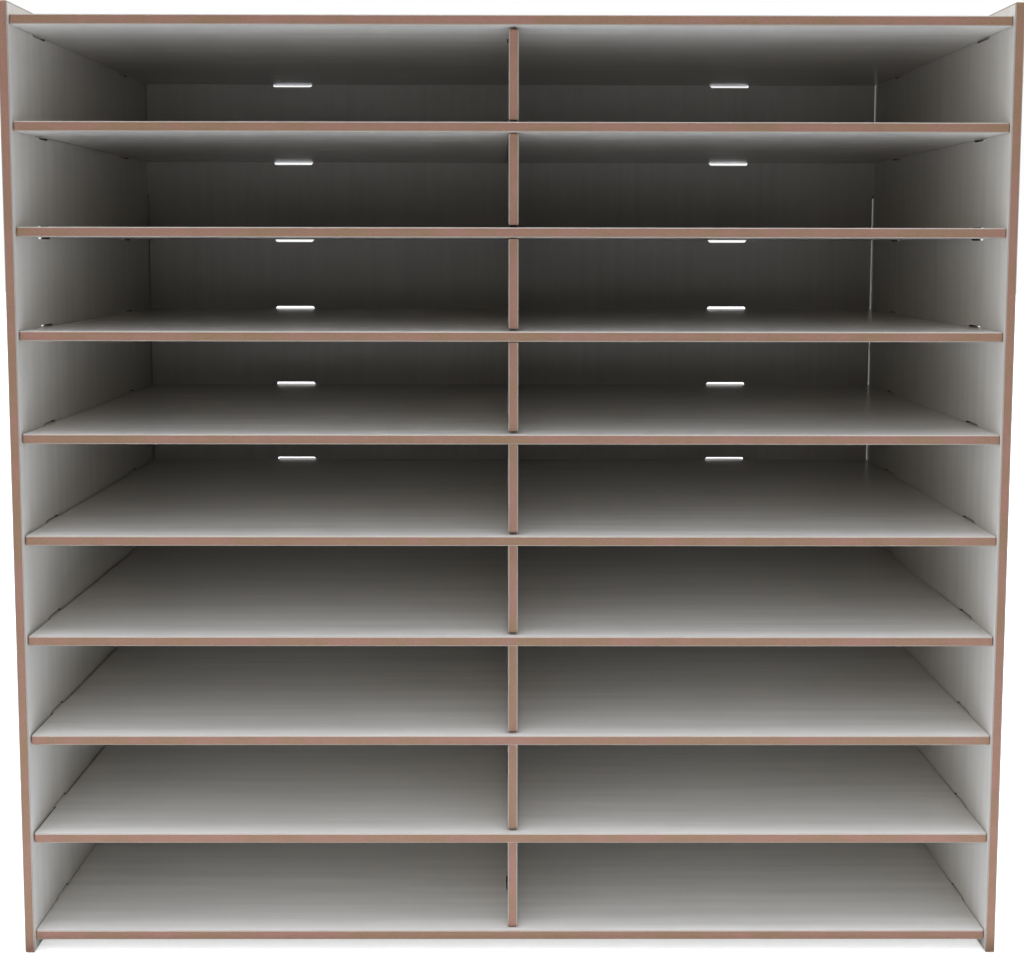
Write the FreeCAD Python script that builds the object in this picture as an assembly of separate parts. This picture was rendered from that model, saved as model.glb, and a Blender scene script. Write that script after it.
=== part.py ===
"""Pigeonhole mail sorter, two columns of nine, slotted together from one thickness of board.

Millimetres, +Z up, open front towards -Y. The origin is on the floor under the middle of the
sorter. Ten shelves lie between two sides, a divider crosses them in the middle and a back
panel closes them. The boards hold each other: tabs go through routed slots with play around
them, and the divider and the inner shelves are slotted into one another like an egg crate.
"""
import FreeCAD, Part
import os

from FreeCAD import Vector

# Board stock and how it is cut
BOARD = 9.0              # thickness of every panel
EDGE_EASE = 0.8          # chamfer along the edges of a panel
CORNER_ROUND = 2.5       # rounding of the outer panels' corners
END_ROUND = 2.5          # rounding across the upper and lower ends of a side
CORNER_CUT = 1.5         # corner taken off the inner panels and the tabs
SLOT_CORNER = 2.0        # corner that the cutter leaves in a slot, drawn as one flat

# Compartments
ROWS = 9                 # compartments in a column
HOLE_WIDTH = 436.5       # side to divider, when the divider stands in the middle
HOLE_HEIGHT = 84.0       # shelf to shelf
HOLE_DEPTH = 358.5       # front edge of a shelf to the back panel

# How far the panels reach past the compartments
FOOT = 11.5              # floor to the underside of the lowest shelf
HEAD = 11.5              # top of the highest shelf to the top of the sides
SHELF_SETBACK = 2.5      # front edge of a side to the front edge of a shelf
DIVIDER_SETBACK = 7.0    # front edge of a side to the front edge of the divider
REAR_MARGIN = 10.0       # what a side keeps behind the back panel
BACK_LIFT = 3.0          # floor to the back panel

# Tabs, and where they are along the edge that carries them
TAB = 24.0               # length of a shelf's end tab and of a divider's tab
TAB_SHY = 0.5            # end of a tab to the outer face of the panel that it goes through
SHELF_TAB_FRONT = 49.5   # front edge of a shelf to its front end tabs
SHELF_TAB_REAR = 63.0    # rear edge of a shelf to its rear end tabs
DIVIDER_TAB_FRONT = 60.0  # front edge of the divider to its front tabs
DIVIDER_TAB_REAR = 49.0  # rear edge of the divider to its rear tabs
BACK_TAB = 46.0          # length of a shelf's tab into the back panel
BACK_TAB_OFFSET = 264.0  # middle of the sorter to the middle of such a tab
SIDE_TAB = 44.0          # height of a back panel's tab into a side
SIDE_TAB_INSET = 109.5   # end of the back panel to that tab

# Egg-crate slots
LAP_FRONT = 116.5        # front edge of a shelf to the slot that takes the divider
LAP_END_PLAY = 1.5       # between the ends of the two slots, past the cutter's corners
LAP_PLAY = 1.8           # above and below a shelf in the divider's slots
DIVIDER_PLAY = 0.8       # on each side of the divider in a shelf's slot
SLOT_DRIFT = 1.0         # middle of the sorter to the middle of the shelves' slots
SHELF_SETTLE = 0.7       # how far a shelf lies below the middle of the divider's slot

# Play elsewhere
TAB_PLAY = 1.8           # above and below a shelf's end tab in its slot
TAB_END_PLAY = 2.0       # past each end of an end tab in its slot
BACK_TAB_PLAY = 3.0      # above and below a shelf's tab into the back panel
BACK_TAB_END_PLAY = 1.2  # past each end of such a tab
SHELF_END_PLAY = 1.0     # left end of an inner shelf to the side
SIDE_TAB_PLAY = 0.5      # before and behind a back panel's tab in its slot
DIVIDER_TOP_PLAY = 2.5   # divider to the underside of the highest shelf
BACK_GAP = 1.6           # back panel to a side, when it stands in the middle
BACK_DRIFT = 0.6         # how far to the left of the middle it stands

PAST = 5.0               # how far a cutter runs out of the board
PARALLEL = 1e-6          # how nearly a direction lies along an axis

# Planes that the panels share
pitch = HOLE_HEIGHT + BOARD
height = FOOT + ROWS * pitch + BOARD + HEAD
inner_x = HOLE_WIDTH + BOARD / 2
outer_x = inner_x + BOARD
side_depth = SHELF_SETBACK + HOLE_DEPTH + BOARD + REAR_MARGIN
front_y = -side_depth / 2
rear_y = side_depth / 2
shelf_y = front_y + SHELF_SETBACK
divider_y = front_y + DIVIDER_SETBACK
back_y = shelf_y + HOLE_DEPTH
lap_y = shelf_y + LAP_FRONT
lap_half = BOARD / 2 + LAP_PLAY
divider_slot = (SLOT_DRIFT - BOARD / 2 - DIVIDER_PLAY, SLOT_DRIFT + BOARD / 2 + DIVIDER_PLAY)
divider_left = divider_slot[1] - BOARD     # the divider leans on the right wall of its slots


def shelf_underside(number):
    """Height of the underside of a shelf, where 0 is the highest one."""
    return FOOT + (ROWS - number) * pitch


def stretch_from(start, inset, length):
    """A stretch of an edge that begins an inset after its start, as (low, high)."""
    return start + inset, start + inset + length


def stretch_before(end, inset, length):
    """A stretch of an edge that stops an inset before its end, as (low, high)."""
    return end - inset - length, end - inset


end_tabs = [
    stretch_from(shelf_y, SHELF_TAB_FRONT, TAB),
    stretch_before(back_y, SHELF_TAB_REAR, TAB),
]
divider_tabs = [
    stretch_from(divider_y, DIVIDER_TAB_FRONT, TAB),
    stretch_before(back_y, DIVIDER_TAB_REAR, TAB),
]
rear_tabs = [
    (centre - BACK_TAB / 2, centre + BACK_TAB / 2)
    for centre in (-BACK_TAB_OFFSET, BACK_TAB_OFFSET)
]
side_tabs = [
    stretch_from(BACK_LIFT, SIDE_TAB_INSET, SIDE_TAB),
    stretch_before(height, SIDE_TAB_INSET, SIDE_TAB),
]


def block(x, y, z):
    """A plain block that spans (low, high) along each axis."""
    return Part.makeBox(x[1] - x[0], y[1] - y[0], z[1] - z[0], Vector(x[0], y[0], z[0]))


def lies_along(direction, axis):
    """Whether a direction lies along an axis: "x", "y" or "z"."""
    return abs(getattr(direction, axis)) > 1 - PARALLEL


def edges_along(shape, axis):
    """The straight edges of a shape that run along an axis."""
    straight = [edge for edge in shape.Edges if isinstance(edge.Curve, Part.Line)]
    return [edge for edge in straight if lies_along(edge.Curve.Direction, axis)]


def broad_face_edges(shape, axis):
    """The edges round the two faces of a board that lie across an axis."""
    flat = [face for face in shape.Faces if isinstance(face.Surface, Part.Plane)]
    return [edge for face in flat if lies_along(face.Surface.Axis, axis) for edge in face.Edges]


def outer_board(x, y, z, through):
    """A board with rounded corners and eased edges, whose thickness is along an axis."""
    blank = block(x, y, z)
    blank = blank.makeFillet(CORNER_ROUND, edges_along(blank, through))
    return blank.makeChamfer(EDGE_EASE, broad_face_edges(blank, through))


def side_board(x, y, z):
    """A side's blank: rounded corners, rounded ends and eased upright edges.

    It is what three blanks have in common, each of them shaped along one axis.
    """
    blank = block(x, y, z)
    cornered = blank.makeFillet(CORNER_ROUND, edges_along(blank, "x"))
    ended = blank.makeFillet(END_ROUND, edges_along(blank, "y"))
    eased = blank.makeChamfer(EDGE_EASE, edges_along(blank, "z"))
    return cornered.common(ended).common(eased)


def inner_board(x, y, z, through):
    """A board or a tab and its root, with cut corners and eased edges."""
    blank = block(x, y, z)
    blank = blank.makeChamfer(CORNER_CUT, edges_along(blank, through))
    return blank.makeChamfer(EDGE_EASE, broad_face_edges(blank, through))


def slot(x, y, z, through):
    """A cut through a board whose thickness is along an axis."""
    cut = block(x, y, z)
    return cut.makeChamfer(SLOT_CORNER, edges_along(cut, through))


def widened(span, play):
    """A (low, high) span with play added at both ends."""
    return span[0] - play, span[1] + play


def joined(body, tabs):
    """A panel and its tabs as one solid without seams in its faces."""
    return body.fuse(tabs).removeSplitter()


def side(sign):
    """A side panel, left (-1) or right (1), slotted for the shelves and the back panel."""
    thick = sorted((sign * inner_x, sign * outer_x))
    through = widened(thick, PAST)
    cuts = []
    for number in range(ROWS + 1):
        shelf = (shelf_underside(number), shelf_underside(number) + BOARD)
        for run in end_tabs:
            cuts.append(slot(through, widened(run, TAB_END_PLAY), widened(shelf, TAB_PLAY), "x"))
    for run in side_tabs:
        back = (back_y, back_y + BOARD)
        cuts.append(slot(through, widened(back, SIDE_TAB_PLAY), widened(run, TAB_END_PLAY), "x"))
    return side_board(thick, (front_y, rear_y), (0, height)).cut(cuts)


def back_panel():
    """The panel behind the shelves, slotted for them and tabbed into both sides."""
    left = -inner_x + BACK_GAP - BACK_DRIFT
    right = inner_x - BACK_GAP - BACK_DRIFT
    thick = (back_y, back_y + BOARD)
    body = outer_board((left, right), thick, (BACK_LIFT, height), "y")
    tabs = []
    for run in side_tabs:
        tabs.append(inner_board((-outer_x + TAB_SHY, left + BOARD), thick, run, "y"))
        tabs.append(inner_board((right - BOARD, outer_x - TAB_SHY), thick, run, "y"))
    through = widened(thick, PAST)
    cuts = []
    for number in range(ROWS + 1):
        shelf = (shelf_underside(number), shelf_underside(number) + BOARD)
        mouth = widened(shelf, BACK_TAB_PLAY)
        for run in rear_tabs:
            cuts.append(slot(widened(run, BACK_TAB_END_PLAY), through, mouth, "y"))
    return joined(body, tabs).cut(cuts)


def shelf_board(number, left):
    """A shelf with its tabs, from its left end, before anything is cut out of it."""
    thick = (shelf_underside(number), shelf_underside(number) + BOARD)
    body = inner_board((left, inner_x), (shelf_y, back_y), thick, "z")
    tabs = []
    for run in end_tabs:
        tabs.append(inner_board((-outer_x + TAB_SHY, -inner_x + BOARD), run, thick, "z"))
        tabs.append(inner_board((inner_x - BOARD, outer_x - TAB_SHY), run, thick, "z"))
    for run in rear_tabs:
        tabs.append(inner_board(run, (back_y - BOARD, back_y + BOARD - TAB_SHY), thick, "z"))
    return joined(body, tabs)


def inner_shelf(number):
    """A shelf between two compartments, slotted from the rear for the divider."""
    through = widened((shelf_underside(number), shelf_underside(number) + BOARD), PAST)
    cut = slot(divider_slot, (lap_y, back_y + SLOT_CORNER + PAST), through, "z")
    return shelf_board(number, -inner_x + SHELF_END_PLAY).cut(cut)


def end_shelf(number):
    """The highest or lowest shelf, tight between the sides, slotted for the divider's tabs."""
    through = widened((shelf_underside(number), shelf_underside(number) + BOARD), PAST)
    cuts = [
        slot(divider_slot, widened(run, TAB_END_PLAY), through, "z")
        for run in divider_tabs
    ]
    return shelf_board(number, -inner_x).cut(cuts)


def eased_mouth(z, thick):
    """A cut along y whose long walls flare by the easing where they meet the divider's faces."""
    outline = [
        (thick[0] - PAST, z[0] - EDGE_EASE - PAST),
        (thick[0] + EDGE_EASE, z[0]),
        (thick[1] - EDGE_EASE, z[0]),
        (thick[1] + PAST, z[0] - EDGE_EASE - PAST),
        (thick[1] + PAST, z[1] + EDGE_EASE + PAST),
        (thick[1] - EDGE_EASE, z[1]),
        (thick[0] + EDGE_EASE, z[1]),
        (thick[0] - PAST, z[1] + EDGE_EASE + PAST),
    ]
    start = divider_y - PAST
    corners = [Vector(x, start, height) for x, height in outline + outline[:1]]
    return Part.Face(Part.makePolygon(corners)).extrude(Vector(0, lap_y - start, 0))


def centre_divider():
    """The upright between the columns, slotted from the front for the inner shelves."""
    thick = (divider_left, divider_left + BOARD)
    low = shelf_underside(ROWS) + BOARD
    high = shelf_underside(0) - DIVIDER_TOP_PLAY
    body = inner_board(thick, (divider_y, back_y), (low, high), "x")
    foot = shelf_underside(ROWS) + TAB_SHY
    tip = shelf_underside(0) + BOARD - TAB_SHY
    tabs = []
    for run in divider_tabs:
        tabs.append(inner_board(thick, run, (foot, low + BOARD), "x"))
        tabs.append(inner_board(thick, run, (high - BOARD, tip), "x"))
    slot_run = (divider_y - SLOT_CORNER - PAST, lap_y + SLOT_CORNER + LAP_END_PLAY)
    cuts = []
    for number in range(1, ROWS):
        middle = shelf_underside(number) + BOARD / 2 + SHELF_SETTLE
        opening = (middle - lap_half, middle + lap_half)
        cuts.append(slot(widened(thick, PAST), slot_run, opening, "x"))
        cuts.append(eased_mouth(opening, thick))
    return joined(body, tabs).cut(cuts)


parts = {
    "side_left": side(-1),
    "side_right": side(1),
    "back_panel": back_panel(),
    "centre_divider": centre_divider(),
}
for number in range(ROWS + 1):
    shelf = end_shelf if number in (0, ROWS) else inner_shelf
    parts[f"shelf_{number + 1:02d}"] = shelf(number)

os.makedirs("parts", exist_ok=True)
for name, shape in parts.items():
    shape.exportStep(f"parts/{name}.step")
    print(name, len(shape.Solids), shape.isValid(), round(shape.Volume))
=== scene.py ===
"""Finish and setting of the pigeonhole mail sorter: white faced boards with bare brown edges.

Metres, +Z up, the open front towards -Y, the floor at 0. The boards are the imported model's own;
this script gives each one its faced and cut surfaces, and sets them in a plain pale studio.
"""

import logging
import math
from dataclasses import dataclass
from enum import Enum
from typing import Any, Container, Dict, List, NamedTuple, Optional, Sequence, Tuple, Union

import bpy
import numpy as np
from mathutils import Matrix, Vector


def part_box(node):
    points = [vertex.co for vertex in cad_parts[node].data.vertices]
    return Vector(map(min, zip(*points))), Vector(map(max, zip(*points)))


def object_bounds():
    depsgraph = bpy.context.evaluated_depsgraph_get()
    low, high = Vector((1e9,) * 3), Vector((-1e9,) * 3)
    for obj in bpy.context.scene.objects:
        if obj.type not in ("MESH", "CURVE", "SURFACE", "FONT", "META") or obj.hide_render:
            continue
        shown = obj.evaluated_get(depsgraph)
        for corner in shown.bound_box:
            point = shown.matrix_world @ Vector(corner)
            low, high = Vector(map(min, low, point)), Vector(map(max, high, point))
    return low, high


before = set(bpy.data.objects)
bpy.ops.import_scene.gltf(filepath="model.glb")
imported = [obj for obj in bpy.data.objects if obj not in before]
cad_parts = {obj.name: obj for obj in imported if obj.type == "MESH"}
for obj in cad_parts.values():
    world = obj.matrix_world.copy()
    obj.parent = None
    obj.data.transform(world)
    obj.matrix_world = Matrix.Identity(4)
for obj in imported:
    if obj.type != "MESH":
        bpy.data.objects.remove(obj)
cad_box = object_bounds()

log = logging.getLogger("sorter")

MM = 0.001
NOISE_MIDDLE = 0.5  # what a noise node swings about
TINY = 1.0e-4  # keeps a divisor off nothing
MIX_FACTOR, MIX_FIRST, MIX_SECOND, MIX_RESULT = 0, 6, 7, 2  # a Mix node's sockets for colours

Triple = Tuple[float, float, float]
Colour = Triple
Span = Tuple[float, float]
Amount = Union["Wire", float]
Paint = Union["Wire", Colour]


class Axis(Enum):
    """An axis that a board's thickness lies along, or its grain."""

    X = 0
    Y = 1
    Z = 2


class Wire:
    """An output of a node in a material's tree. Sums on it add Math nodes."""

    def __init__(self, bench: "Bench", maker: bpy.types.Node, output: Union[int, str]) -> None:
        """Begins a wire.

        Args:
            bench: the tree that the wire belongs to.
            maker: the node that it leaves from.
            output: which of the node's outputs, by index or name.
        """
        self.bench = bench
        self.maker = maker
        self.output = output

    @property
    def socket(self) -> bpy.types.NodeSocket:
        """The socket that the wire leaves from."""
        return self.maker.outputs[self.output]

    def pick(self, output: Union[int, str]) -> "Wire":
        """Another output of the same node."""
        return Wire(self.bench, self.maker, output)

    def sum(self, operation: str, *terms: Amount) -> "Wire":
        """A Math node on wires or numbers, by Blender's name of the sum."""
        return self.bench.node("ShaderNodeMath", {"operation": operation}, dict(enumerate(terms)))

    def __add__(self, other: Amount) -> "Wire":
        """This wire plus another amount."""
        return self.sum("ADD", self, other)

    def __radd__(self, other: Amount) -> "Wire":
        """An amount plus this wire."""
        return self.sum("ADD", other, self)

    def __sub__(self, other: Amount) -> "Wire":
        """This wire less another amount."""
        return self.sum("SUBTRACT", self, other)

    def __rsub__(self, other: Amount) -> "Wire":
        """An amount less this wire."""
        return self.sum("SUBTRACT", other, self)

    def __mul__(self, other: Amount) -> "Wire":
        """This wire times another amount."""
        return self.sum("MULTIPLY", self, other)

    def __rmul__(self, other: Amount) -> "Wire":
        """An amount times this wire."""
        return self.sum("MULTIPLY", other, self)

    def __truediv__(self, other: Amount) -> "Wire":
        """This wire divided by another amount."""
        return self.sum("DIVIDE", self, other)

    def __abs__(self) -> "Wire":
        """This wire without its sign."""
        return self.sum("ABSOLUTE", self)

    def __pow__(self, other: Amount) -> "Wire":
        """This wire to a power."""
        return self.sum("POWER", self, other)

    def ramp(self, low: Amount, high: Amount) -> "Wire":
        """0 where this wire is at low, 1 where it is at high, smooth in between."""
        values = {"Value": self, "From Min": low, "From Max": high}
        return self.bench.node("ShaderNodeMapRange", {"interpolation_type": "SMOOTHSTEP"}, values)

    def swing(self, depth: float) -> "Wire":
        """How far this noise strays from its middle, scaled to a depth."""
        return (self - NOISE_MIDDLE) * depth


class Bench:
    """The node tree of one material or world, and the one method that adds a node to it."""

    def __init__(self, owner: Union[bpy.types.Material, bpy.types.World]) -> None:
        """Clears the tree.

        Args:
            owner: what the tree belongs to.
        """
        owner.use_nodes = True
        self.tree = owner.node_tree
        self.tree.nodes.clear()

    def node(
        self,
        kind: str,
        settings: Optional[Dict[str, Any]] = None,
        values: Optional[Dict[Union[int, str], Any]] = None,
        output: Union[int, str] = 0,
    ) -> Wire:
        """Adds a node.

        Args:
            kind: Blender's name of the node.
            settings: its own properties, set first.
            values: a number, colour, vector or wire for each input, by index or name.
            output: which output to return.

        Returns:
            A wire that leaves from that output.
        """
        made = self.tree.nodes.new(kind)
        for name, value in (settings or {}).items():
            setattr(made, name, value)
        for name, value in (values or {}).items():
            if isinstance(value, Wire):
                self.tree.links.new(value.socket, made.inputs[name])
            elif isinstance(value, tuple) and made.inputs[name].type == "RGBA":
                made.inputs[name].default_value = (*value, 1.0)
            else:
                made.inputs[name].default_value = value
        return Wire(self, made, output)

    def place(self) -> Wire:
        """Coordinates in metres, fixed to the object."""
        return self.node("ShaderNodeTexCoord", output="Object")

    def parts(self, place: Wire) -> List[Wire]:
        """The x, y and z of a vector."""
        split = self.node("ShaderNodeSeparateXYZ", None, {0: place})
        return [split.pick(axis.value) for axis in Axis]

    def blend(self, factor: Amount, first: Paint, second: Paint) -> Wire:
        """A colour that goes from first to second as factor goes from 0 to 1."""
        values = {MIX_FACTOR: factor, MIX_FIRST: first, MIX_SECOND: second}
        return self.node("ShaderNodeMix", {"data_type": "RGBA"}, values, MIX_RESULT)

    def tint(self, colour: Paint, strength: Amount) -> Wire:
        """A colour scaled by an amount."""
        values = {0: colour, "Scale": strength}
        return self.node("ShaderNodeVectorMath", {"operation": "SCALE"}, values)

    def surface(self, shown: "Layers") -> Wire:
        """A Principled surface.

        Args:
            shown: its colour, roughness and height, which becomes a bump.

        Returns:
            The shader.
        """
        values = {"Strength": 1.0, "Distance": 1.0, "Height": shown.height}
        bump = self.node("ShaderNodeBump", None, values)
        values = {"Base Color": shown.colour, "Roughness": shown.roughness, "Normal": bump}
        return self.node("ShaderNodeBsdfPrincipled", None, values)


class Layers(NamedTuple):
    """What a surface shows: its colour, its roughness and its height in metres."""

    colour: Wire
    roughness: Wire
    height: Wire


def even(amount: float) -> Triple:
    """The same amount along x, y and z."""
    return amount, amount, amount


@dataclass(frozen=True)
class Pattern:
    """A pattern in the round, of soft noise or of scattered points.

    Attributes:
        cells: cells per metre along x, y and z.
        shift: how far a seed of 1 moves it along x, y and z, in cells.
        draw: how many times longer its cells are along the axes that it is drawn out along.
        detail: how many finer layers the noise has.
        rough: how strong each finer layer is.
    """

    cells: Triple
    shift: Triple
    draw: float = 1.0
    detail: float = 1.0
    rough: float = 0.5

    def spread(self, place: Wire, seed: float, drawn: Container[Axis] = ()) -> Wire:
        """Coordinates in cells.

        Args:
            place: coordinates in metres.
            seed: a number that moves the pattern.
            drawn: the axes that it is drawn out along.

        Returns:
            The coordinates.
        """
        repeats = [
            cells / self.draw if axis in drawn else cells for cells, axis in zip(self.cells, Axis)
        ]
        shift = [seed * share for share in self.shift]
        values = {"Vector": place, "Location": shift, "Scale": repeats}
        return place.bench.node("ShaderNodeMapping", {"vector_type": "POINT"}, values)

    def noise(self, place: Wire, seed: float, drawn: Container[Axis] = ()) -> Wire:
        """Soft noise.

        Args:
            place: coordinates in metres.
            seed: a number that moves the pattern.
            drawn: the axes that it is drawn out along.

        Returns:
            The noise, which swings about its middle.
        """
        spread = self.spread(place, seed, drawn)
        values = {"Vector": spread, "Scale": 1.0, "Detail": self.detail, "Roughness": self.rough}
        return place.bench.node("ShaderNodeTexNoise", None, values)

    def specks(self, place: Wire, seed: float) -> Wire:
        """Distance in cells to the nearest of scattered points."""
        values = {"Vector": self.spread(place, seed), "Scale": 1.0, "Randomness": 1.0}
        return place.bench.node("ShaderNodeTexVoronoi", {"feature": "F1"}, values)


@dataclass(frozen=True)
class WhiteFacing:
    """Satin melamine facing: near white, with a fine pearl emboss and faint handling marks.

    Attributes:
        colour, shaded: the facing, and what clouds and smudges pull it towards.
        roughness: of the facing without its marks.
        pearl, pores, streak, cloud, smudge: its patterns.
        pearl_share: what the pearl makes of the height. Pores make the rest.
        cloud_share, smudge_share: how far a cloud and a smudge pull the colour.
        pores_depth: how much pores lighten and darken.
        streak_depth: the same for streaks, by the axis of the grain.
        pearl_gloss, smudge_gloss: how much they change the roughness.
        cloud_span, smudge_span: where in the noise they begin and are full.
        relief: height of the emboss.
    """

    colour: Colour = (0.776, 0.743, 0.692)
    shaded: Colour = (0.748, 0.714, 0.660)
    roughness: float = 0.19
    pearl: Pattern = Pattern(even(900.0), (0.0, 1.0, 1.0))
    pearl_share: float = 0.55
    pearl_gloss: float = 0.04
    pores: Pattern = Pattern(even(320.0), (1.0, 1.7, 0.0), draw=14.0, detail=2.0, rough=0.6)
    pores_depth: float = 0.06
    streak: Pattern = Pattern(even(115.0), (1.3, 1.0, 0.0), draw=26.0)
    streak_depth: Triple = (0.19, 0.12, 0.12)
    cloud: Pattern = Pattern(even(5.0), (1.0, 0.0, 1.0))
    cloud_span: Span = (0.35, 0.7)
    cloud_share: float = 0.5
    smudge: Pattern = Pattern((26.0, 34.0, 30.0), (1.0, 1.0, 0.0), detail=3.0, rough=0.62)
    smudge_span: Span = (0.55, 0.78)
    smudge_share: float = 0.25
    smudge_gloss: float = 0.07
    relief: float = 0.010 * MM

    def layers(self, bench: Bench, place: Wire, grain: Axis, seed: float) -> Layers:
        """The facing's looks.

        The height is a pearl emboss plus pores drawn out along the grain. Long faint streaks
        run with the grain, colour drifts by a cloud of a hand's width, and smudges of a finger's
        width change the gloss.

        Args:
            bench: the material.
            place: coordinates in metres.
            grain: the axis that the emboss runs along.
            seed: a number of the board's own.

        Returns:
            The layers.
        """
        pores = self.pores.noise(place, seed, [grain])
        streak = self.streak.noise(place, seed, [grain])
        pearl = self.pearl.noise(place, seed)
        cloud = self.cloud.noise(place, seed).ramp(*self.cloud_span)
        marks = self.smudge.noise(place, seed).ramp(*self.smudge_span)
        shade = cloud * self.cloud_share + marks * self.smudge_share
        fall = 1.0 + pores.swing(self.pores_depth) + streak.swing(self.streak_depth[grain.value])
        colour = bench.tint(bench.blend(shade, self.colour, self.shaded), fall)
        roughness = self.roughness + pearl.swing(self.pearl_gloss) + marks * self.smudge_gloss
        height = (pearl * self.pearl_share + pores * (1.0 - self.pearl_share)) * self.relief
        return Layers(colour, roughness, height)


@dataclass(frozen=True)
class BrownCore:
    """Cut edge of fibreboard: brown, finely fibrous, with scattered pores.

    Attributes:
        colour, ruddy: the two browns that the edge drifts between.
        dark, pale: the two browns of its fibres.
        roughness: of the edge without its marks.
        fibre, drift, pore: its patterns.
        fibre_span, drift_span, pore_span: where in the pattern they begin and are full.
        drift_share: what the drifting browns make of the colour. Fibres make the rest.
        dense_span: from where to where the board grows denser, as a share of its half.
        drift_depth, pore_depth, dense_depth: how much they lighten or darken.
        fibre_gloss, dense_gloss: how much they change the roughness.
        relief: height of the fibres and depth of the pores.
    """

    colour: Colour = (0.336, 0.213, 0.117)
    ruddy: Colour = (0.392, 0.208, 0.155)
    dark: Colour = (0.252, 0.143, 0.099)
    pale: Colour = (0.432, 0.292, 0.221)
    roughness: float = 0.82
    fibre: Pattern = Pattern(even(2600.0), (1.0, 0.0, 1.0), draw=3.5, detail=3.0, rough=0.6)
    fibre_span: Span = (0.32, 0.68)
    fibre_gloss: float = 0.15
    drift: Pattern = Pattern(even(24.0), (0.0, 1.0, 0.0), detail=3.0, rough=0.62)
    drift_span: Span = (0.35, 0.65)
    drift_depth: float = 0.06
    drift_share: float = 0.66
    pore: Pattern = Pattern(even(620.0), (1.0, 1.0, 0.0))
    pore_span: Span = (0.10, 0.22)
    pore_depth: float = 0.2
    dense_span: Span = (0.35, 1.0)
    dense_depth: float = 0.08
    dense_gloss: float = 0.08
    relief: float = 0.02 * MM

    def layers(self, bench: Bench, place: Wire, depth: Wire, across: Axis, seed: float) -> Layers:
        """The cut edge's looks.

        Fibres are noise drawn out in the board's plane. The board is denser and darker near its
        faces. Pores are the nearest of scattered points.

        Args:
            bench: the material.
            place: coordinates in metres.
            depth: distance from the middle of the board's thickness, as a share of its half.
            across: the axis of the board's thickness.
            seed: a number of the board's own.

        Returns:
            The layers.
        """
        fibre = self.fibre.noise(place, seed, [axis for axis in Axis if axis is not across])
        drift = self.drift.noise(place, seed)
        pits = 1.0 - self.pore.specks(place, seed).ramp(*self.pore_span)
        dense = depth.ramp(*self.dense_span)
        drifting = bench.blend(drift.ramp(*self.drift_span), self.colour, self.ruddy)
        fibrous = bench.blend(fibre.ramp(*self.fibre_span), self.dark, self.pale)
        fall = 1.0 + drift * self.drift_depth - dense * self.dense_depth - pits * self.pore_depth
        colour = bench.tint(bench.blend(self.drift_share, fibrous, drifting), fall)
        roughness = self.roughness + fibre.swing(self.fibre_gloss) - dense * self.dense_gloss
        return Layers(colour, roughness, (fibre - pits) * self.relief)


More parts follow.
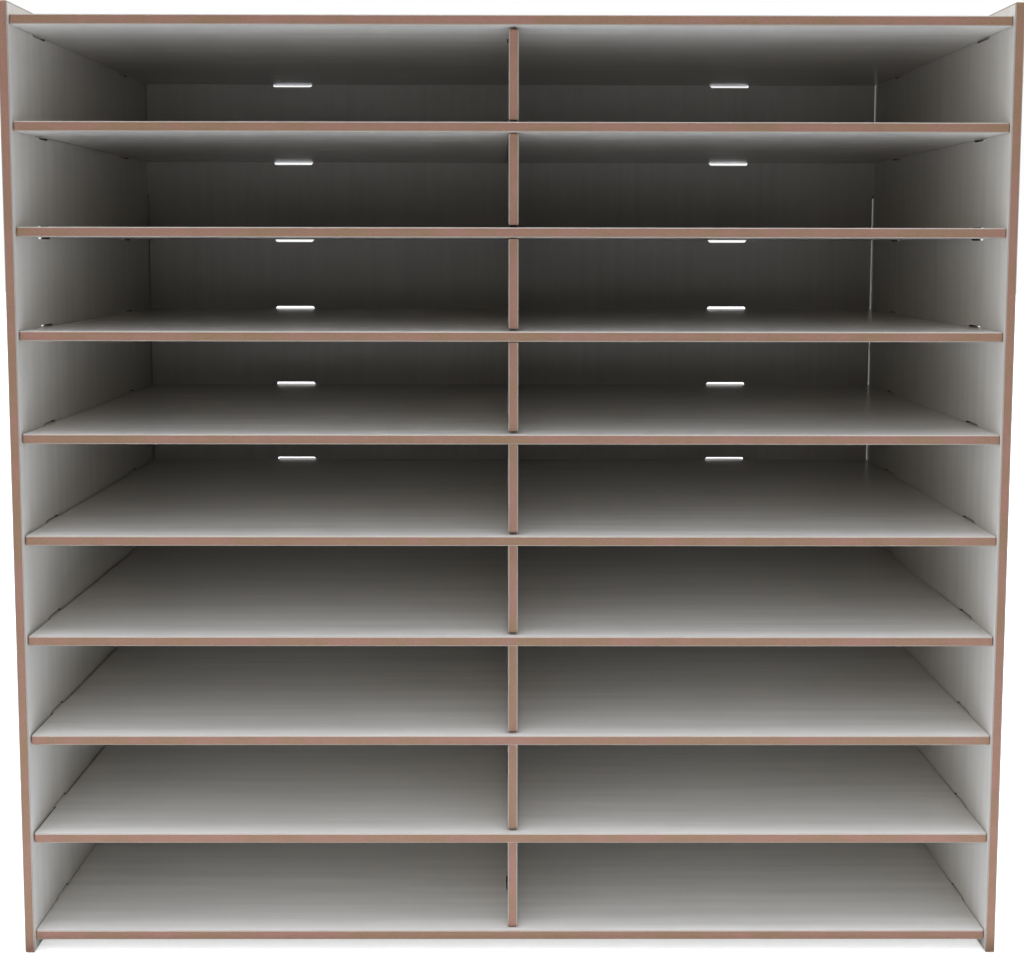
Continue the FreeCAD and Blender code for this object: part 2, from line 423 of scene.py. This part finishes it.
@dataclass(frozen=True)
class FacedBoard:
    """White facing on both faces of a brown board, whose edges are cut and eased.

    Between core and face lies the facing's own cut edge, a fine line. On a shelf the upper line
    catches more light than the lower one, so the two have colours of their own.

    Attributes:
        face_span: how far below the face the cut ends and the face begins.
        line_width, line_soft, line_rough: the line's width, blur and roughness.
        line_colour, under_colour, upper_colour: on an upright board, and under and on a shelf.
        middle_span: where in a shelf's thickness the lower colour turns into the upper one.
        wander, wander_depth: how raggedly the line meets the core.
        painted_slot_shade: how much darker the core is painted inside a cut: painted shade that
            stands for the shadow in the slots.
        painted_shade_room: how far inside the outline the painted shade begins and is full.
        facing, core: the two surfaces.
    """

    face_span: Span = (0.05 * MM, 0.03 * MM)
    line_width: float = 1.05 * MM
    line_soft: float = 0.12 * MM
    line_rough: float = 0.62
    line_colour: Colour = (0.430, 0.375, 0.320)
    under_colour: Colour = (0.372, 0.305, 0.250)
    upper_colour: Colour = (0.545, 0.480, 0.415)
    middle_span: Span = (-1.0 * MM, 1.0 * MM)
    wander: Pattern = Pattern(even(260.0), (1.0, 0.0, 0.0), detail=3.0, rough=0.6)
    wander_depth: float = 0.16 * MM
    # painted shade: how much the core is darkened inside cuts, for the shadow in the slots
    painted_slot_shade: float = 0.62
    painted_shade_room: Span = (3.0 * MM, 5.0 * MM)
    facing: WhiteFacing = WhiteFacing()
    core: BrownCore = BrownCore()

    def within(self, away: Sequence[Wire], reach: Sequence[float], across: Axis) -> Wire:
        """1 well inside a board's outline, 0 at its outer edges.

        Args:
            away: distance from the board's middle along each axis.
            reach: half the board's size along each axis.
            across: the axis of its thickness, which is left out.

        Returns:
            The share as a wire.
        """
        near, deep = self.painted_shade_room
        first, second = (
            away[axis.value].ramp(reach[axis.value] - near, reach[axis.value] - deep)
            for axis in Axis
            if axis is not across
        )
        return second * first

    def line(self, bench: Bench, drop: Wire, across: Axis) -> Paint:
        """Colour of the facing's cut edge.

        Args:
            bench: the material.
            drop: distance from the board's middle plane, negative on its lower side.
            across: the axis of the board's thickness.

        Returns:
            One colour on an upright board, one for each side of a shelf.
        """
        if across is not Axis.Z:
            return self.line_colour
        return bench.blend(drop.ramp(*self.middle_span), self.under_colour, self.upper_colour)

    def dress(self, node: str, across: Axis, grain: Axis, seed: float) -> None:
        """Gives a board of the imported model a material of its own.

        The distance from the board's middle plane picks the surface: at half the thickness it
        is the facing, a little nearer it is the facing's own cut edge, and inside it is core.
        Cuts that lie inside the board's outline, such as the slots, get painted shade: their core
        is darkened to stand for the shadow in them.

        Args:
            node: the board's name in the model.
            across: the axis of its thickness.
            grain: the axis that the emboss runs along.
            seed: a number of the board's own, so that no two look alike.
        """
        low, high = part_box(node)
        reach = [(end - start) / 2 for start, end in zip(low, high)]
        middle = [(start + end) / 2 for start, end in zip(low, high)]
        made = bpy.data.materials.new(f"{node}_finish")
        bench = Bench(made)
        place = bench.place()
        drop = [part - centre for part, centre in zip(bench.parts(place), middle)]
        away = [abs(distance) for distance in drop]
        offset = away[across.value]
        half = reach[across.value]
        facing = self.facing.layers(bench, place, grain, seed)
        core = self.core.layers(bench, place, offset / half, across, seed)
        # painted shade: the core is darkened inside the outline, where the slots lie in shadow
        brown = bench.tint(core.colour, 1.0 - self.within(away, reach, across) * self.painted_slot_shade)
        rim = half - self.line_width + self.wander.noise(place, seed).swing(self.wander_depth)
        bare = offset.ramp(rim + self.line_soft, rim - self.line_soft)
        colour = bench.blend(bare, self.line(bench, drop[across.value], across), brown)
        roughness = self.line_rough + bare * (core.roughness - self.line_rough)
        cut = Layers(colour, roughness, core.height * bare)
        under, at = self.face_span
        faced = offset.ramp(half - under, half - at)
        values = {0: faced, 1: bench.surface(cut), 2: bench.surface(facing)}
        both = bench.node("ShaderNodeMixShader", None, values)
        bench.node("ShaderNodeOutputMaterial", None, {"Surface": both})
        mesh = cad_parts[node].data
        mesh.materials.clear()
        mesh.materials.append(made)
        log.info("%s: %s", node, made.name)


@dataclass(frozen=True)
class Carcass:
    """The two sides and the back panel."""

    finish: FacedBoard
    sides: Tuple[str, str] = ("side_left", "side_right")
    side_seed: float = 3.1
    side_step: float = 7.3
    back: str = "back_panel"
    back_seed: float = 21.7

    def build(self) -> None:
        """Dresses the three boards, whose emboss runs upwards."""
        for number, side in enumerate(self.sides):
            self.finish.dress(side, Axis.X, Axis.Z, self.side_seed + self.side_step * number)
        self.finish.dress(self.back, Axis.Y, Axis.Z, self.back_seed)


@dataclass(frozen=True)
class Shelves:
    """The ten shelves, from the top down."""

    finish: FacedBoard
    count: int = 10
    seed: float = 31.0
    step: float = 5.9

    def build(self) -> None:
        """Dresses every shelf, whose emboss runs across the sorter."""
        for number in range(1, self.count + 1):
            seed = self.seed + self.step * number
            self.finish.dress(f"shelf_{number:02d}", Axis.Z, Axis.X, seed)


@dataclass(frozen=True)
class Divider:
    """The upright between the two columns."""

    finish: FacedBoard
    node: str = "centre_divider"
    seed: float = 13.9

    def build(self) -> None:
        """Dresses the divider, whose emboss runs upwards."""
        self.finish.dress(self.node, Axis.X, Axis.Z, self.seed)


@dataclass(frozen=True)
class Floor:
    """A pale floor: a flat square grid.

    The camera sees it glow, which keeps it near white. Under the sorter it doesn't glow, so a
    slot in the lowest shelf shows dark.

    Attributes:
        reach, steps: half its size, and how many squares lie along a side.
        colour, roughness: its paint.
        glow, unlit: strength of the glow, and its colour where there is none.
        side_span, rear_span: where the dark ground under the sorter ends, past its outline.
        front_span: where it begins, behind the sorter's front.
        cloud, cloud_seed, cloud_depth: a faint unevenness of the paint.
    """

    reach: float = 14.0
    steps: int = 24
    colour: Colour = (0.86, 0.86, 0.855)
    roughness: float = 0.75
    glow: float = 0.68
    unlit: Colour = (0.0, 0.0, 0.0)
    side_span: Span = (-0.02, 0.01)
    front_span: Span = (0.025, 0.055)
    rear_span: Span = (-0.03, 0.01)
    cloud: Pattern = Pattern(even(0.8), (3.0, 5.0, 0.0), detail=3.0)
    cloud_seed: float = 1.0
    cloud_depth: float = 0.02

    def mesh(self) -> bpy.types.Mesh:
        """The grid.

        Returns:
            The mesh, at height 0.
        """
        side = self.steps + 1
        lines = np.linspace(-self.reach, self.reach, side)
        x, y = np.meshgrid(lines, lines)
        points = np.stack([x, y, np.zeros_like(x)], -1).reshape(-1, 3)
        row = np.arange(self.steps)
        start = (row[:, None] * side + row[None, :]).reshape(-1)
        faces = np.stack([start, start + 1, start + side + 1, start + side], -1)
        mesh = bpy.data.meshes.new("floor")
        mesh.from_pydata(points.tolist(), [], faces.tolist())
        return mesh

    def material(self) -> bpy.types.Material:
        """The floor's faintly clouded paint.

        Returns:
            The material.
        """
        material = bpy.data.materials.new("pale_floor")
        bench = Bench(material)
        place = bench.place()
        cloud = self.cloud.noise(place, self.cloud_seed)
        colour = bench.tint(self.colour, 1.0 + cloud.swing(self.cloud_depth))
        seen = bench.node("ShaderNodeLightPath", output="Is Camera Ray")
        x, y, _ = bench.parts(place)
        (_, front, _), (side, rear, _) = cad_box
        under = (1.0 - (abs(x) - side).ramp(*self.side_span)) * (y - front).ramp(*self.front_span)
        under = under * (1.0 - (y - rear).ramp(*self.rear_span))
        glow = bench.blend(seen * (1.0 - under), self.unlit, self.colour)
        values = {
            "Base Color": colour,
            "Roughness": self.roughness,
            "Emission Color": glow,
            "Emission Strength": self.glow,
        }
        shader = bench.node("ShaderNodeBsdfPrincipled", None, values)
        bench.node("ShaderNodeOutputMaterial", None, {"Surface": shader})
        return material

    def build(self) -> None:
        """Lays the floor."""
        mesh = self.mesh()
        floor = bpy.data.objects.new("floor", mesh)
        bpy.context.scene.collection.objects.link(floor)
        mesh.materials.append(self.material())


@dataclass(frozen=True)
class Climb:
    """A strength of light that climbs in two steps with the height of a ray.

    Heights run from 0 at the horizon to 1 straight up, and are sines, not angles.
    """

    levels: Triple
    first: Span
    second: Span

    def at(self, up: Wire) -> Wire:
        """The strength at a height."""
        low, mid, high = self.levels
        return low + up.ramp(*self.first) * (mid - low) + up.ramp(*self.second) * (high - mid)


@dataclass(frozen=True)
class Dome:
    """A soft dome, worked out from the direction of a ray.

    In front of the sorter the middle of the dome is dark up to nearly half its height, its two
    flanks glow from the horizon up, the left one more than the right, and both grow brighter and
    cooler towards the zenith, where a small crown is brightest. Behind the sorter the dome is
    dim, with a low brighter wing on either side. Where it is seen directly, or from behind in a
    gloss, it is an even white.

    Spans run over the sine of a ray's height, or over how far aside it points, from 0 to 1.

    Attributes:
        middle, flank, flank_span: strength ahead and beside that, and where they meet.
        lean, lean_span: how much the left flank outshines the right, and up to what height.
        zenith, zenith_span: light added around the top of the dome.
        crown, crown_span: light added at its very top.
        rear, rear_span: strength behind, and where that takes over.
        wing, wing_span, wing_height: light added by the wings, how far aside and how high.
        backdrop: strength where the dome is seen directly.
        plain, warm, cool, cool_span: its colour where it is seen or behind, low in front and
            high in front, and where warm turns into cool.
    """

    middle: Climb = Climb((0.0, 1.14, 1.56), (0.45, 0.75), (0.80, 0.92))
    flank: Climb = Climb((0.65, 1.09, 4.35), (0.08, 0.42), (0.84, 0.96))
    flank_span: Span = (0.50, 0.74)
    lean: float = 0.43
    lean_span: Span = (0.2, 0.6)
    zenith: float = 3.06
    zenith_span: Span = (0.93, 0.99)
    crown: float = 28.0
    crown_span: Span = (0.9965, 0.9985)
    rear: float = 0.24
    rear_span: Span = (-0.06, 0.06)
    wing: float = 1.35
    wing_span: Span = (0.5, 0.9)
    wing_height: Span = (0.3, 0.7)
    backdrop: float = 1.0
    plain: Colour = (1.0, 1.0, 1.0)
    warm: Colour = (1.09, 1.00, 0.82)
    cool: Colour = (0.952, 0.995, 1.10)
    cool_span: Span = (0.08, 0.42)

    def build(self) -> None:
        """Makes the world that holds the dome."""
        world = bpy.data.worlds.new("studio")
        bpy.context.scene.world = world
        bench = Bench(world)
        x, y, up = bench.parts(bench.node("ShaderNodeTexCoord", output="Generated"))
        rays = bench.node("ShaderNodeLightPath")
        seen, gloss = rays.pick("Is Camera Ray"), rays.pick("Is Glossy Ray")
        aside = x / ((x * x + y * y + TINY) ** 0.5)
        middle = self.middle.at(up)
        flank = self.flank.at(up) * (1.0 - aside * self.lean * (1.0 - up.ramp(*self.lean_span)))
        front = middle + abs(aside).ramp(*self.flank_span) * (flank - middle)
        front = front + up.ramp(*self.zenith_span) * self.zenith
        wings = abs(aside).ramp(*self.wing_span) * (1.0 - up.ramp(*self.wing_height))
        rear = self.rear + wings * self.wing
        rear = rear + gloss * (self.backdrop - rear)
        behind = y.ramp(*self.rear_span)
        light = front + behind * (rear - front) + up.ramp(*self.crown_span) * self.crown
        strength = light + seen * (self.backdrop - light)
        glow = bench.blend(up.ramp(*self.cool_span), self.warm, self.cool)
        glow = bench.blend(behind, glow, self.plain)
        colour = bench.blend(seen, glow, self.plain)
        shade = bench.node("ShaderNodeBackground", None, {"Color": colour, "Strength": strength})
        bench.node("ShaderNodeOutputWorld", None, {"Surface": shade})


@dataclass(frozen=True)
class Bounce:
    """A rectangular soft light that lies just above the floor and shines straight up.

    It stands for the light that the floor throws back. The camera doesn't see it.

    Attributes:
        name: of the light.
        gap: from the sorter's front to the light.
        size: its width and depth.
        watts, colour: its power and colour.
        lift: its height above the floor.
    """

    name: str
    gap: float
    size: Span
    watts: float
    colour: Colour = (0.86, 1.00, 1.18)
    lift: float = 0.005

    def build(self) -> None:
        """Makes the light and turns it upwards."""
        front, depth = cad_box[0][1], self.size[1]
        data = bpy.data.lights.new(self.name, "AREA")
        data.shape = "RECTANGLE"
        data.size, data.size_y = self.size
        data.energy = self.watts
        data.color = self.colour
        lamp = bpy.data.objects.new(self.name, data)
        lamp.location = (0.0, front - self.gap - depth / 2, self.lift)
        lamp.rotation_mode = "QUATERNION"
        lamp.rotation_quaternion = Vector((0.0, 0.0, 1.0)).to_track_quat("-Z", "Y")
        lamp.visible_camera = False
        bpy.context.scene.collection.objects.link(lamp)


@dataclass(frozen=True)
class Camera:
    """The camera, looking at the open front from above its middle.

    Attributes:
        eye: where it stands.
        turn, tilt, roll: its angles about the vertical, downwards and about its own line.
        lens, film, shift: focal length and film width in millimetres, and the film's offset.
        clip: the nearest and farthest distance that it sees.
    """

    eye: Triple = (-0.00171, -1.16103, 0.65503)
    turn: float = -0.00286
    tilt: float = 0.06820
    roll: float = 0.00149
    lens: float = 38.380
    film: float = 36.0
    shift: Span = (-0.0006, -0.15229)
    clip: Span = (0.05, 100.0)

    def axes(self) -> Matrix:
        """The camera's directions.

        Returns:
            A rotation whose columns are its right, its top and its rear.
        """
        ahead = Vector((-math.sin(self.turn), math.cos(self.turn), 0.0))
        right = Vector((math.cos(self.turn), math.sin(self.turn), 0.0))
        look = ahead * math.cos(self.tilt) - Vector((0, 0, math.sin(self.tilt)))
        up = ahead * math.sin(self.tilt) + Vector((0, 0, math.cos(self.tilt)))
        side = right * math.cos(self.roll) + up * math.sin(self.roll)
        top = up * math.cos(self.roll) - right * math.sin(self.roll)
        return Matrix((side, top, -look)).transposed()

    def build(self) -> None:
        """Makes the camera and gives it to the scene."""
        data = bpy.data.cameras.new("front")
        data.lens = self.lens
        data.sensor_width = self.film
        data.shift_x, data.shift_y = self.shift
        data.clip_start, data.clip_end = self.clip
        camera = bpy.data.objects.new("front", data)
        camera.matrix_world = Matrix.Translation(self.eye) @ self.axes().to_4x4()
        bpy.context.scene.collection.objects.link(camera)
        bpy.context.scene.camera = camera


@dataclass(frozen=True)
class Studio:
    """The camera, the floor, the dome and the light off the floor.

    Attributes:
        camera, floor, dome, near, far: its parts, the last two the light off the floor.
        contrast: power that the shown tones are raised to.
    """

    camera: Camera = Camera()
    floor: Floor = Floor()
    dome: Dome = Dome()
    near: Bounce = Bounce("bounce", 0.01, (1.8, 0.75), 4.1)
    far: Bounce = Bounce("far_bounce", 0.76, (2.8, 1.25), 7.3)
    contrast: float = 1.20

    def build(self) -> None:
        """Sets up the studio and how its tones are shown."""
        for part in (self.camera, self.floor, self.dome, self.near, self.far):
            part.build()
        shown = bpy.context.scene.view_settings
        shown.view_transform = "Standard"
        shown.look = "None"
        shown.gamma = 1.0 / self.contrast


def main() -> None:
    """Builds the studio and dresses the boards in order."""
    logging.basicConfig(level=logging.INFO, format="%(name)s %(message)s")
    finish = FacedBoard()
    for part in (Studio(), Carcass(finish), Shelves(finish), Divider(finish)):
        part.build()
        log.info("%s done", type(part).__name__)


if __name__ == "__main__":
    main()
